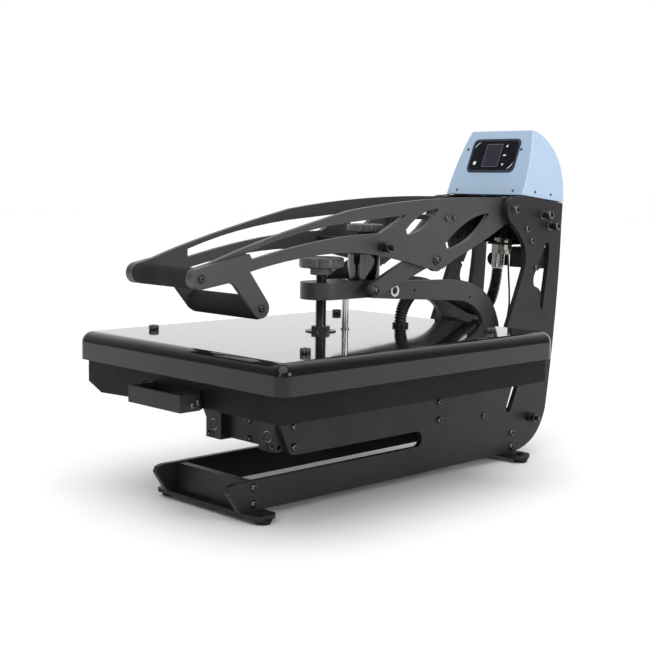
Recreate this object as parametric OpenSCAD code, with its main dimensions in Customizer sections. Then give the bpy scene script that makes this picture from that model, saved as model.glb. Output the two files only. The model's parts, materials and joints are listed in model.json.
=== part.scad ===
// Slide-out, auto-open clamshell heat press. X is the operator's right, the
// front faces -Y, Z is up and the rubber feet stand on Z = 0. Millimetres.

/* [Heated head] */
// width of the cover over the heating plate
cover_w = 428; // [360:1:480]
// depth of the cover, front to back
cover_d = 536; // [440:1:600]
// height of the cover
cover_h = 39; // [32:1:50]
// width of both pressing surfaces
platen_w = 400; // [340:1:440]
// depth of both pressing surfaces
platen_d = 500; // [400:1:540]
// thickness of the heating plate
heater_t = 16; // [12:1:20]

/* [Base] */
// outside width over the two side plates
frame_w = 160; // [140:1:180]
// thickness of the side plates
side_t = 8; // [6:0.5:10]
// distance between the front and rear feet
foot_gap = 542; // [480:1:600]
// width of the foot plates
foot_plate_w = 216; // [190:1:260]
// thickness of the foot plates
foot_plate_t = 6; // [4:0.5:8]
// height of the rubber feet
foot_h = 6.5; // [4:0.5:12]

/* [Drawer] */
// diameter of the two guide rods
rod_d = 16; // [12:1:20]
// distance between the guide rods
rod_gap = 112; // [104:1:116]
// height of the guide rods over the table
rod_z = 101; // [98:1:106]
// height of the tray's skirt
tray_h = 27; // [22:1:30]
// width of the pull handle
pull_w = 110; // [90:1:130]

/* [Handle] */
// diameter of the arm shaft
arm_shaft_d = 16; // [12:1:20]
// thickness of the arm plates
arm_t = 8; // [6:0.5:8]
// diameter of the grips
grip_d = 27; // [22:1:32]
// length of the grips
grip_len = 127.4; // [120:0.2:128]

/* [Pressure screw] */
// diameter of the pressure spindle
spindle_d = 16; // [12:1:20]
// diameter of the pressure knob
knob_d = 64; // [50:1:80]
// diameter of the magnet
magnet_d = 47; // [40:1:52]

/* [Console] */
// width of the console hood at its foot
hood_w = 156; // [140:1:158]
// lean of the hood's two sides
hood_lean = 9; // [6:0.5:12]

/* [Hidden] */
$fn = 48;
run = 0.05;        // radial running clearance of a shaft in its bore
gap = 0.5;         // clearance between parts that pass each other
e = 0.01;

y_mid = -282.5;    // moves the feet's frame to the middle of the footprint
xo = frame_w / 2;  // outer face of the side plates
xi = xo - side_t;  // inner face of the side plates
xa = xi - 8;       // outer face of the arms
xai = xa - arm_t;  // inner face of the arms
xl = xai - 1;      // outer face of the links
xy = 46;           // outer face of the yoke bars
bar_t = 8;         // thickness of the yoke bars

base_z = foot_h + foot_plate_t;  // underside of the side plates
pad_z = 185.6;     // top of the silicone pad
heat_z = pad_z + 0.6;            // underside of the heating plate
cover_z = heat_z;                // lower edge of the cover
cover_y = 194;     // middle of the cover
cover_top = cover_z + cover_h;
tray_top = 178;
tray_y = 196.5;
tray_w = platen_w + 3;
tray_d = platen_d + 21;
hub_z0 = 272;
hub_z1 = 296;

// the conduit to the heating plate, and the thin cable beside it, point by point
conduit_d = 19;
cable_d = 3;
gland_x = -2.5;
gland_lean = 6;
cable_x = 20;
conduit_route = [[-2.5, 598.6, 300], [-2.5, 596, 282], [-2.5, 591, 265], [-2, 583, 250], [-1, 571, 239],
    [0, 554, 234], [1, 533, 237], [3, 510, 245], [5.5, 486, 254], [8, 460, 263], [11, 434, 270], [14, 408, 275],
    [17, 384, 276], [20, 364, 271.5], [22.5, 349, 262], [24, 339, 250], [25, 334.3, 238], [25, 334, 227]];
cable_route = [[20, 597, 323.5], [20, 598, 310], [20, 600, 290], [20, 603, 265], [19, 605, 240], [17, 603.5, 220],
    [12, 602, 195], [6, 602, 165], [1, 602, 135], [-2, 602, 105], [-3, 602, 80], [-4, 599, 60], [-4, 588, 44],
    [-4, 572, 38], [-4, 558, 37], [-4, 544, 37]];

// pivots, as [y, z] in the feet's frame
pa = [534, 398.5]; // arm shaft
pd = [544, 180];   // yoke shaft
pb = [369, 324.5]; // link to arm
pc = [247, 284];   // link to yoke
ps = [585, 65];    // gas-spring axle
pg = [480, 178];   // gas spring to yoke

// points of an arc about c, and of a curve from a to b pulled towards k
function arc(c, r, a0, a1, n = 8) =
    [for (i = [0:n]) c + r * [cos(a0 + (a1 - a0) * i / n), sin(a0 + (a1 - a0) * i / n)]];
function bow(a, k, b, n = 6) =
    [for (i = [0:n]) let (t = i / n) (1 - t) * (1 - t) * a + 2 * t * (1 - t) * k + t * t * b];

// a plate lying in the Y-Z plane between x0 and x1, from a 2-D outline
module plate(x0, x1) {
    translate([x0, 0, 0])
        rotate([90, 0, 90])
            linear_extrude(height = x1 - x0)
                children();
}
// a cylinder along X through the point [y, z]
module xrod(p, r, x0, x1) {
    translate([x0, p[0], p[1]])
        rotate([0, 90, 0])
            cylinder(r = r, h = x1 - x0);
}
// a cylinder along Y through the point [x, z]
module yrod(x, z, r, y0, y1) {
    translate([x, y0, z])
        rotate([-90, 0, 0])
            cylinder(r = r, h = y1 - y0);
}
module zrod(x, y, r, z0, z1) {
    translate([x, y, z0])
        cylinder(r = r, h = z1 - z0);
}
module box(x0, x1, y0, y1, z0, z1) {
    translate([x0, y0, z0])
        cube([x1 - x0, y1 - y0, z1 - z0]);
}
// an upright box whose corners and upper edges are bent to radius r
module bent_box(w, d, h, r) {
    translate([-w / 2 + r, -d / 2, 0])
        cube([w - 2 * r, d, h - r]);
    translate([-w / 2, -d / 2 + r, 0])
        cube([w, d - 2 * r, h - r]);
    translate([-w / 2 + r, -d / 2 + r, 0])
        cube([w - 2 * r, d - 2 * r, h]);
    for (sx = [-1, 1])
        translate([sx * (w / 2 - r), d / 2 - r, h - r])
            rotate([90, 0, 0])
                cylinder(r = r, h = d - 2 * r);
    for (sy = [-1, 1])
        translate([-w / 2 + r, sy * (d / 2 - r), h - r])
            rotate([0, 90, 0])
                cylinder(r = r, h = w - 2 * r);
    for (sx = [-1, 1])
        for (sy = [-1, 1])
            translate([sx * (w / 2 - r), sy * (d / 2 - r), 0]) {
                cylinder(r = r, h = h - r);
                translate([0, 0, h - r])
                    sphere(r = r);
            }
}
// an upright box with rounded vertical corners
module round_box(w, d, h, r) {
    translate([-w / 2 + r, -d / 2, 0])
        cube([w - 2 * r, d, h]);
    translate([-w / 2, -d / 2 + r, 0])
        cube([w, d - 2 * r, h]);
    for (sx = [-1, 1])
        for (sy = [-1, 1])
            translate([sx * (w / 2 - r), sy * (d / 2 - r), 0])
                cylinder(r = r, h = h);
}
module both() {
    children();
    mirror([1, 0, 0])
        children();
}
module place() {
    translate([0, y_mid, 0])
        children();
}
// a button-head screw along +X whose head rests on the plane x
module side_screw(p, x, len, r = 3) {
    difference() {
        union() {
            xrod(p, 5.4, x, x + 3.2);
            xrod(p, r - 0.1, x - len, x + 0.1);
        }
        translate([x + 1.2, p[0], p[1]])
            rotate([0, 90, 0])
                cylinder(r = 2.3, h = 4, $fn = 6);
    }
}

// ---- base ----
bolt_pts = [[70, 115], [70, 87], [364, 115], [364, 87]];
low_pts = [[0, 44], [0, 22], [foot_gap, 44], [foot_gap, 22]];
post_pts = [[566, 368], [579, 349.5], [593, 306]];

module side_outline() {
    front = concat([[-43, 43], [-26, 17]], bow([-26, 17], [-23, base_z], [-14, base_z], 3));
    back = concat(bow([540, base_z], [612, 14], [630, 75], 10), bow([630, 75], [650, 200], [656, 320], 8));
    top = [[659, 408.5], [552, 420.3]];
    boss = arc(pa, 20.5, 75, 212, 12);
    post = concat(bow([523, 380], [570, 345], [565, 318], 8), bow([563, 308], [556, 288], [526, 223], 6));
    foot = concat(bow([526, 223], [505, 180], [500, 126], 5), [[48, 126], [43, 121], [60, 84]]);
    arm = concat(bow([60, 84], [62, 76], [72, 76], 4), arc([314, 64.3], 11.7, 90, -90, 12), [[-31, 52.6], [-40, 50]]);
    polygon(concat(front, back, top, boss, post, foot, arm));
}
module post_slot() {
    polygon(concat([[617, 344]], bow([617, 344], [624, 350], [626, 340], 4), bow([626, 320], [624, 300], [614, 243], 5),
        bow([612, 238], [606, 238], [607, 250], 4), bow([608, 265], [603, 273], [594, 275], 4),
        bow([589, 277], [585, 285], [589, 295], 4)));
}
module low_window() {
    polygon(concat(bow([525, 84], [529, 73], [537, 82], 5), bow([548, 104], [558, 125], [566, 150], 4),
        bow([566, 156], [556, 158], [552, 150], 4), [[536, 110]]));
}
module side_holes(x0, x1) {
    for (p = concat(bolt_pts, low_pts, post_pts))
        xrod(p, 3, x0, x1);
    xrod(pa, 4.1, x0, x1);
    xrod(pd, 4.1, x0, x1);
    xrod(ps, 4.1, x0, x1);
    xrod([470, 80], 3, x0, x1);
}
module side_plate_r() {
    color("#26272a")
        difference() {
            plate(xi, xo)
                difference() {
                    side_outline();
                    post_slot();
                    low_window();
                }
            side_holes(xi - 1, xo + 1);
            xrod([605, 390], 3, xi - 1, xo + 1);
            xrod([625, 372], 3, xi - 1, xo + 1);
        }
}
module side_plate_l() {
    color("#26272a")
        mirror([1, 0, 0])
            difference() {
                plate(xi, xo)
                    difference() {
                        side_outline();
                        post_slot();
                        low_window();
                    }
                side_holes(xi - 1, xo + 1);
            }
}
module foot_plates() {
    color("#1f2022")
        for (y = [0, foot_gap])
            difference() {
                translate([0, y, foot_h])
                    round_box(foot_plate_w, 36, foot_plate_t, 9);
                for (s = [-1, 1])
                    zrod(s * (foot_plate_w / 2 - 8.6), y, 3, foot_h - 1, foot_h + foot_plate_t + 1);
            }
}
module feet() {
    color("#161616")
        for (y = [0, foot_gap])
            for (s = [-1, 1])
                translate([s * (foot_plate_w / 2 - 8.6), y, 0]) {
                    difference() {
                        cylinder(r1 = 9, r2 = 12, h = foot_h);
                        translate([0, 0, -1])
                            cylinder(r = 3.5, h = 3);
                    }
                    translate([0, 0, foot_h - e])
                        cylinder(r = 2.9, h = foot_plate_t + e);
                    translate([0, 0, foot_h + foot_plate_t])
                        cylinder(r = 5, h = 2.6);
                }
}
module cross_bars() {
    color("#232426")
        for (y = [0, foot_gap])
            difference() {
                box(-xi, xi, y - 5.5, y + 5.5, base_z + 0.2, 51);
                for (p = [[y, 44], [y, 22]])
                    both()
                        xrod(p, 3, xi - 16, xi + 1);
                yrod(-4, 37, cable_d / 2 + 0.3, foot_gap - 0.5, foot_gap + 6);
            }
}
block_y = [43, 343];
block_len = 48;
module shaft_blocks() {
    color("#2b2c2f")
        for (y = block_y)
            both()
                difference() {
                    box(rod_gap / 2 - 16.5, xi, y, y + block_len, rod_z - 19.5, 126);
                    yrod(rod_gap / 2, rod_z, rod_d / 2, y - 1, y + block_len + 1);
                    box(rod_gap / 2 - 0.8, rod_gap / 2 + 0.8, y - 1, y + block_len + 1, 70, rod_z);
                    for (p = [[70, 115], [70, 87], [364, 115], [364, 87]])
                        xrod(p, 3, xi - 5, xi + 1);
                    xrod([y + 7, rod_z - 13], 3.2, xi - 5, xi + 1);
                    for (z = [89, 114])
                        xrod([y + 16, z], 2, rod_gap / 2 - 20, rod_gap / 2 - 12);
                }
}
module guide_rods() {
    color("#c9ccd0")
        both()
            yrod(rod_gap / 2, rod_z, rod_d / 2 - 0.02, block_y[0] + 0.5, block_y[1] + block_len - 0.5);
}
module tie_plates() {
    color("#242527")
        for (y = block_y)
            difference() {
                box(-rod_gap / 2 + 16.6, rod_gap / 2 - 16.6, y + 12, y + 20, rod_z - 17, 125);
                for (z = [89, 114])
                    yrod(6, z, 3, y + 11, y + 21);
            }
}
module base_screws() {
    color("#17181a") {
        both() {
            for (p = bolt_pts)
                side_screw(p, xo, side_t + 4);
            for (p = low_pts)
                side_screw(p, xo, side_t + 12);
            for (p = post_pts)
                side_screw(p, xo, side_t);
            side_screw([470, 80], xo, side_t);
            for (p = [pa, pd]) {
                difference() {
                    xrod(p, 8.4, xo, xo + 1.6);
                    xrod(p, 4, xo - 1, xo + 2);
                }
                difference() {
                    union() {
                        xrod(p, 6.5, xo + 1.6, xo + 5.5);
                        xrod(p, 3.9, xi - 10, xo + 1.7);
                    }
                    translate([xo + 3, p[0], p[1]])
                        rotate([0, 90, 0])
                            cylinder(r = 2.9, h = 4, $fn = 6);
                }
            }
            for (y = block_y)
                translate([xi - 2, y + 7, rod_z - 13])
                    rotate([0, 90, 0])
                        cylinder(r = 3.1, h = 1.9);
        }
        for (y = block_y)
            for (z = [89, 114]) {
                yrod(6, z, 2.9, y + 10, y + 20);
                yrod(6, z, 4.6, y + 8.4, y + 11.9);
            }
    }
}
module shafts() {
    color("#b9bcc0") {
        difference() {
            xrod(pa, arm_shaft_d / 2, -xi + 0.1, xi - 0.1);
            both()
                xrod(pa, 3.95, xi - 11, xi + 1);
        }
        difference() {
            xrod(pd, 10, -xi + 0.1, xi - 0.1);
            both()
                xrod(pd, 3.95, xi - 11, xi + 1);
        }
        xrod(ps, 4, -xo - 22, xo + 22);
        both()
            for (x = [xo + 0.1, xo + 8.5])
                difference() {
                    translate([x, ps[0], ps[1]])
                        rotate([0, 90, 0])
                            cylinder(r = 7.5, h = 6.5, $fn = 6);
                    xrod(ps, 4.02, x - 1, x + 9);
                }
    }
}
module rear_panel() {
    color("#1b1c1e")
        difference() {
            union() {
                box(-xi + 0.1, xi - 0.1, 556, 559, 402, 419.4);
                box(-xi + 0.1, xi - 0.1, 558, 650, 402, 405);
                box(-xi + 0.1, xi - 0.1, 647, 650, 340, 405);
                box(gland_x - 14, cable_x + 9, 588, 650, 340, 343);
            }
            on_gland()
                cylinder(r = 6.6, h = 40, center = true);
            zrod(cable_x, 597, 4.1, 330, 350);
        }
}

// ---- console ----
hood_tilt = atan(43 / 101);
module hood_profile(t) {
    polygon(concat([[553 + t * 1.1, 421.5 - t * 0.2], [597.1 + t * 0.7, 524.5 - t * 1.1]],
        bow([609 + t * 0.5, 522 - t], [648 - t * 0.3, 506 - t], [659 - t, 462], 8),
        bow([659 - t, 462], [665 - t, 440], [664.8 - t, 410], 4)));
}
module hood_cuts(t) {
    both()
        plate_y(500, 700)
            polygon(concat([[hood_w / 2 - t, 380]],
                bow([hood_w / 2 - t, 421], [hood_w / 2 + 0.5 - t, 480], [hood_w / 2 - 105 * tan(hood_lean) - t, 526], 8),
                [[hood_w / 2 - 105 * tan(hood_lean) - t, 560], [140, 560], [140, 380]]));
}
// from the hood's face: x across, s up the slope, d out of the face
module on_face(x, s, d) {
    translate([x, 553, 421.5])
        rotate([-hood_tilt, 0, 0])
            translate([0, -d, s])
                children();
}
button_spots = [[21.5, 84], [21, 67.5], [21.5, 51], [-36, 54]];
module console_hood() {
    color("#b9cfe2")
        difference() {
            plate(-hood_w / 2 - 5, hood_w / 2 + 5)
                hood_profile(0);
            hood_cuts(0);
            difference() {
                plate(-hood_w / 2 - 6, hood_w / 2 + 6)
                    hood_profile(2.5);
                hood_cuts(2.5);
            }
            // the open foot
            box(-hood_w / 2 + 2.5, hood_w / 2 - 2.5, 556, 662, 400, 424);
            translate([0, 553, 421.4])
                rotate([-6.3, 0, 0])
                    box(-100, 100, -20, 140, -30, 0);
            for (b = button_spots)
                on_face(b[0], b[1], 0)
                    rotate([-90, 0, 0])
                        cylinder(r = 4.6, h = 12, center = true);
            on_face(-4, 67.5, 0)
                cube([33, 12, 41], center = true);
        }
}
module console_overlay() {
    color("#0d0e10")
        difference() {
            on_face(-49.5, 38, 0.9)
                union() {
                    translate([9, 0, 0])
                        cube([78, 0.8, 58.5]);
                    translate([0, 0, 9])
                        cube([96, 0.8, 40.5]);
                    for (x = [9, 87])
                        for (z = [9, 49.5])
                            translate([x, 0, z])
                                rotate([-90, 0, 0])
                                    cylinder(r = 9, h = 0.8);
                }
            for (b = button_spots)
                on_face(b[0], b[1], 0)
                    rotate([-90, 0, 0])
                        cylinder(r = 4.6, h = 12, center = true);
            on_face(-4, 67.5, 0)
                cube([31, 12, 39], center = true);
        }
}
module display() {
    color("#1c2a3a")
        on_face(-4, 67.5, 0.7)
            translate([-15, 0, -19])
                cube([30, 4, 38]);
}
module console_button(i) {
    color("#3a3d42")
        on_face(button_spots[i][0], button_spots[i][1], 1.2)
            rotate([-90, 0, 0])
                cylinder(r = 4.2, h = 6);
}
module button_up() { console_button(0); }
module button_set() { console_button(1); }
module button_down() { console_button(2); }
module button_mode() { console_button(3); }
module pegs() {
    color("#151515")
        for (p = [[605, 390], [625, 372]]) {
            difference() {
                xrod(p, 7, xo, xo + 18);
                xrod(p, 3.1, xo - 1, xo + 19);
            }
            xrod(p, 3, xi, xo + 18);
            xrod(p, 5.5, xo + 18, xo + 22);
        }
}
module inlet_box() {
    color("#3b3d40")
        difference() {
            box(12, xi - 0.1, 612, 646, 303, 336);
            box(14, xi - 2, 614, 644, 305, 334);
            box(38, 64, 630, 650, 310, 329);
            box(17.4, 30.6, 630, 650, 308.5, 330.5);
        }
    color("#101011")
        difference() {
            union() {
                box(35, 67, 646, 648, 307, 332);
                box(38.2, 63.8, 628, 646.1, 310.2, 328.8);
            }
            box(40, 62, 632, 649, 312, 327);
        }
}
module power_switch() {
    color("#8e1b1b")
        translate([24, 646, 319.5])
            rotate([5, 0, 0])
                box(-6, 6, -7, 3, -9.5, 9.5);
}
module bumper() {
    color("#141414") {
        difference() {
            yrod(-25, 314, 11.5, 614, 628);
            yrod(-25, 314, 3, 613, 629);
        }
        yrod(-25, 314, 2.9, 611, 646);
        yrod(-25, 314, 5, 610.5, 613.9);
        box(-35, gland_x - 14.5, 644, 646.8, 302, 372);
    }
}
// the conduit's own gland leans forward, as the conduit does
module on_gland() {
    translate([gland_x, 603, 341.5])
        rotate([-gland_lean, 0, 0])
            children();
}
module rear_glands() {
    color("#c4c2ba") {
        difference() {
            on_gland() {
                translate([0, 0, -5])
                    cylinder(r = 6, h = 14);
                translate([0, 0, -18])
                    cylinder(r = 13.5, h = 15.5, $fn = 6);
                translate([0, 0, -41])
                    cylinder(r = conduit_d / 2 + 0.6, h = 24);
                translate([0, 0, 3])
                    cylinder(r = 10, h = 5, $fn = 6);
            }
            on_gland()
                cylinder(r = 4.5, h = 120, center = true);
        }
        difference() {
            union() {
                zrod(cable_x, 597, 4, 330, 349);
                translate([cable_x, 597, 331])
                    cylinder(r = 7, h = 8.8, $fn = 6);
                zrod(cable_x, 597, 4.8, 324, 331.1);
                translate([cable_x, 597, 343.1])
                    cylinder(r = 7, h = 4, $fn = 6);
            }
            zrod(cable_x, 597, cable_d / 2, 320, 350);
        }
    }
}

// a closed tube of diameter d swept along round points, ring by ring
function unit(v) = v / norm(v);
function spline(p, n = 2) = concat([for (i = [0:len(p) - 2]) let (
        a = p[max(i - 1, 0)], b = p[i], c = p[i + 1], k = p[min(i + 2, len(p) - 1)])
    for (j = [0:n - 1]) let (t = j / n)
        0.5 * (2 * b + (c - a) * t + (2 * a - 5 * b + 4 * c - k) * t * t + (3 * b - a - 3 * c + k) * t * t * t)],
    [p[len(p) - 1]]);
module tube(route, d, sides, n = 2) {
    p = spline(route, n);
    last = len(p) - 1;
    way = [for (i = [0:last]) unit(p[min(i + 1, last)] - p[max(i - 1, 0)])];
    side = [1, 0, 0];
    rings = [for (i = [0:last]) let (u = unit(side - way[i] * (side * way[i])), v = cross(way[i], u))
        for (k = [0:sides - 1]) p[i] + d / 2 * (cos(360 * k / sides) * u + sin(360 * k / sides) * v)];
    skin = [for (i = [0:last - 1]) for (k = [0:sides - 1]) let (m = (k + 1) % sides)
        [i * sides + k, i * sides + m, (i + 1) * sides + m, (i + 1) * sides + k]];
    ends = [[for (k = [sides - 1:-1:0]) k], [for (k = [0:sides - 1]) last * sides + k]];
    polyhedron(points = rings, faces = concat(skin, ends), convexity = 8);
}
module conduit() {
    color("#202122")
        tube(conduit_route, conduit_d, 12);
}
module sensor_cable() {
    color("#111111")
        tube(cable_route, cable_d, 8, 1);
}

// ---- drawer ----
module tray() {
    color("#1d1e20")
        difference() {
            translate([0, tray_y, tray_top - tray_h])
                cube([tray_w, tray_d, 2 * tray_h], center = true);
            translate([0, tray_y, tray_top + 50])
                cube([tray_w + 2, tray_d + 2, 100], center = true);
            translate([0, tray_y, tray_top - 2 - 50])
                cube([tray_w - 4, tray_d - 4, 100], center = true);
            box(-300, 300, -200, 700, 50, tray_top - tray_h);
            // bevelled lower corner, front left
            plate_y(tray_y - tray_d / 2 - 5, tray_y - tray_d / 2 + 5)
                polygon([[-tray_w / 2 - 5, 140], [-tray_w / 2 - 5, 157], [-tray_w / 2 + 35, 140]]);
            // arched hand recess behind the pull handle
            plate_y(tray_y - tray_d / 2 - 5, tray_y - tray_d / 2 + 1.9)
                polygon(concat([[-88, 140]], bow([-86, 150], [-80, 174], [-50, 175], 6),
                    bow([50, 175], [80, 174], [86, 150], 6), [[88, 140]]));
        }
    // deeper lip on the left of the arch
    color("#1d1e20")
        plate_y(tray_y - tray_d / 2, tray_y - tray_d / 2 + 2)
            polygon([[-tray_w / 2, 155.2], [-tray_w / 2 + 31, 142], [-94, 145], [-86, 152], [-86, 160], [-tray_w / 2, 160]]);
    // tabs inside the legs of the pull
    color("#1d1e20")
        both()
            difference() {
                union() {
                    box(pull_w / 2 - 8, pull_w / 2 - 4.1, -84, -62, 149, 171);
                    box(pull_w / 2 - 8, pull_w / 2 - 4.1, -64, -34, 150, tray_top - 1.9);
                }
                for (p = pull_pts)
                    xrod(p, 2.6, pull_w / 2 - 9, pull_w / 2);
            }
}
pull_pts = [[-80, 156.3], [-71, 159.5]];
module plate_y(y0, y1) {
    translate([0, y1, 0])
        rotate([90, 0, 0])
            linear_extrude(height = y1 - y0)
                children();
}
module lower_platen() {
    color("#1a1b1d")
        translate([0, tray_y, tray_top])
            difference() {
                translate([-tray_w / 2, -tray_d / 2, 0])
                    cube([tray_w, tray_d, 6.2]);
                translate([-platen_w / 2, -platen_d / 2, 2])
                    cube([platen_w, platen_d, 10]);
            }
}
module silicone_pad() {
    color("#2a2b2e")
        translate([-platen_w / 2 + 0.2, tray_y - platen_d / 2 + 0.2, tray_top + 2])
            cube([platen_w - 0.4, platen_d - 0.4, pad_z - tray_top - 2]);
}
pull_y = -100;
module drawer_handle() {
    color("#242528")
        difference() {
            union() {
                box(-pull_w / 2, pull_w / 2, pull_y, pull_y + 4, 149, 171);
                both()
                    box(pull_w / 2 - 4, pull_w / 2, pull_y, -68, 149, 171);
            }
            both()
                for (p = pull_pts)
                    xrod(p, 2.6, pull_w / 2 - 6, pull_w / 2 + 1);
        }
}
module handle_screws() {
    color("#c8c8c8")
        both()
            for (p = pull_pts) {
                xrod(p, 2.5, pull_w / 2 - 8, pull_w / 2 + 0.1);
                xrod(p, 4, pull_w / 2, pull_w / 2 + 2.4);
            }
}
bear_y = 300;
bear_len = 41;
module bearing_blocks() {
    color("#8f9398")
        both()
            difference() {
                box(rod_gap / 2 - 15, rod_gap / 2 + 15, bear_y, bear_y + bear_len, rod_z - 16, rod_z + 26);
                yrod(rod_gap / 2, rod_z, rod_d / 2 - 0.02 + run, bear_y - 1, bear_y + bear_len + 1);
            }
}
module carriage() {
    color("#232427")
        difference() {
            box(-100, 100, 150, 345, rod_z + 26, tray_top - 2);
            box(-96, 96, 149, 346, rod_z + 32, tray_top);
        }
}

// ---- heated head ----
screw_x = 157;
screw_y = [16, 380];
module cover() {
    color("#141517")
        difference() {
            translate([0, cover_y, cover_z])
                bent_box(cover_w, cover_d, cover_h, 16);
            translate([0, cover_y, cover_z - 1])
                bent_box(cover_w - 4, cover_d - 4, cover_h - 1, 14);
            for (y = screw_y)
                both()
                    zrod(screw_x, y, 4.1, cover_z, cover_top + 1);
            zrod(0, 193, 8.1, cover_z, cover_top + 1);
            zrod(0, 242, 5.1, cover_z, cover_top + 1);
            zrod(25, 334, 6.1, cover_z, cover_top + 1);
        }
}
module element_path(r) {
    for (i = [0:5])
        yrod(-150 + 60 * i, heat_z + heater_t - 5, r, cover_y - 190, cover_y + 190);
    for (i = [0:4])
        translate([-120 + 60 * i, cover_y + (i % 2 == 0 ? 190 : -190), heat_z + heater_t - 5])
            rotate([0, 0, i % 2 == 0 ? 0 : 180])
                rotate_extrude(angle = 180)
                    translate([30, 0])
                        circle(r = r);
}
module heater_plate() {
    color("#b8bbbf")
        difference() {
            translate([-platen_w / 2, cover_y - platen_d / 2, heat_z])
                cube([platen_w, platen_d, heater_t]);
            element_path(4.3);
            for (i = [0:5])
                box(-154.3 + 60 * i, -145.7 + 60 * i, cover_y - 190, cover_y + 190, heat_z + heater_t - 5,
                    heat_z + heater_t + 1);
            for (y = screw_y)
                both()
                    zrod(screw_x - 20, y, 3, heat_z + 4, heat_z + heater_t + 1);
        }
}
module heating_element() {
    color("#7a5a44")
        element_path(4);
}
module insulation() {
    color("#d8d2c0")
        difference() {
            translate([-platen_w / 2 + 2, cover_y - platen_d / 2 + 2, heat_z + heater_t + 0.3])
                cube([platen_w - 4, platen_d - 4, cover_h - heater_t - 3]);
            for (y = screw_y)
                both() {
                    zrod(screw_x, y, 6, heat_z, cover_top);
                    zrod(screw_x - 20, y, 6, heat_z, cover_top);
                }
            zrod(0, 193, 22, heat_z, cover_top);
            zrod(0, 242, 8, heat_z, cover_top);
            zrod(25, 334, 9, heat_z, cover_top);
        }
}
module cover_screws() {
    color("#1c1c1e")
        for (y = screw_y)
            both()
                difference() {
                    union() {
                        zrod(screw_x, y, 7, cover_top, cover_top + 7);
                        zrod(screw_x, y, 4, heat_z + heater_t + 0.1, cover_top + 0.1);
                    }
                    translate([screw_x, y, cover_top + 2.5])
                        cylinder(r = 3.5, h = 5, $fn = 6);
                }
}
module flange_nut() {
    color("#8d9094")
        difference() {
            union() {
                zrod(0, 193, 22, cover_top, cover_top + 1.6);
                translate([0, 193, cover_top + 1.6])
                    cylinder(r = 13.8, h = 6.4, $fn = 6);
                zrod(0, 193, 8, heat_z + heater_t + 2, cover_top + 1);
                zrod(0, 193, 18, heat_z + heater_t + 0.1, heat_z + heater_t + 8);
            }
            zrod(0, 193, 6 + run, cover_top - 4, cover_top + 20);
        }
}
module guide_pin() {
    color("#c9ccd0")
        difference() {
            union() {
                zrod(0, 242, 4.9, heat_z + heater_t + 0.1, hub_z1 + 2);
                zrod(0, 242, 7, heat_z + heater_t + 0.1, heat_z + heater_t + 6);
                zrod(0, 242, 6.5, cover_top, cover_top + 2);
            }
            zrod(0, 242, 2, hub_z1 - 2, hub_z1 + 20);
        }
}
module gland_cover() {
    color("#121213")
        difference() {
            union() {
                zrod(25, 334, 6, cover_top - 10, cover_top + 1);
                zrod(25, 334, conduit_d / 2 + 2.5, cover_top, cover_top + 5);
            }
            zrod(25, 334, 4, cover_top - 12, cover_top + 3);
            translate([25, 334, cover_top + 0.8])
                cylinder(r = conduit_d / 2 + 1, h = 10);
        }
}

// ---- pressure screw ----
knob_z = 316;
module spindle() {
    color("#6d7074")
        union() {
            zrod(0, 193, spindle_d / 2 - run, cover_top + 9, knob_z + 1);
            zrod(0, 193, 6, cover_top - 3.5, cover_top + 9.1);
        }
}
module star(r, h, n, lobe) {
    difference() {
        cylinder(r = r, h = h);
        for (i = [0:n - 1])
            rotate([0, 0, (i + 0.5) * 360 / n])
                translate([r + lobe * 0.25, 0, -1])
                    cylinder(r = lobe, h = h + 2);
    }
}
module pressure_knob() {
    color("#1b1b1d")
        difference() {
            union() {
                translate([0, 193, knob_z])
                    star(knob_d / 2, 15, 9, 2.6);
                translate([0, 193, knob_z - 10])
                    cylinder(r = 16.5, h = 10.1, $fn = 6);
            }
            zrod(0, 193, spindle_d / 2 - run, knob_z - 12, knob_z + 1);
        }
}

// ---- yoke ----
module yoke_outline() {
    top = concat([[262, hub_z1]], bow([430, hub_z1 - 4], [530, 285], [pd[0] + 3, 205], 10));
    eye = arc(pd, 19, 60, -150, 14);
    lug = concat([[522, 176]], arc(pg, 11, -75, -260, 10), [[497, 200]]);
    low = concat(bow([504, 222], [488, 258], [430, 260], 8), [[300, hub_z0 - 3], [262, hub_z0]]);
    polygon(concat(top, eye, lug, low));
}
module yoke_bars() {
    color("#2a2b2e")
        both()
            difference() {
                plate(xy - bar_t, xy)
                    yoke_outline();
                xrod(pd, 10 + run, xy - 20, xy + 5);
                xrod(pg, 4.02, xy - 20, xy + 5);
                xrod([296.2, 281.4], 4.02, xy - 20, xy + 5);
                for (p = [[340, 280], [470, 263]])
                    xrod(p, 2, xy - 20, xy + 5);
            }
}
module hub() {
    color("#2c2d30")
        difference() {
            union() {
                zrod(0, 193, 30, hub_z0, hub_z1);
                box(-30, 30, 193, 262, hub_z0, hub_z1);
                box(-xy + bar_t, xy - bar_t, 258, 330, hub_z0, hub_z1);
            }
            zrod(0, 193, spindle_d / 2, hub_z0 - 1, hub_z1 + 1);
            zrod(0, 242, 4.95, hub_z0 - 1, hub_z1 + 1);
            zrod(0, 279, 4, hub_z0 - 1, hub_z1 + 1);
            both()
                xrod([296.2, 281.4], 3.9, 20, 40);
        }
}
module magnet() {
    color("#1a1b1d")
        union() {
            zrod(0, 279, magnet_d / 2, hub_z1 + 0.1, 334);
            zrod(0, 279, 3.9, hub_z0 + 1, hub_z1 + 0.2);
        }
}
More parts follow.
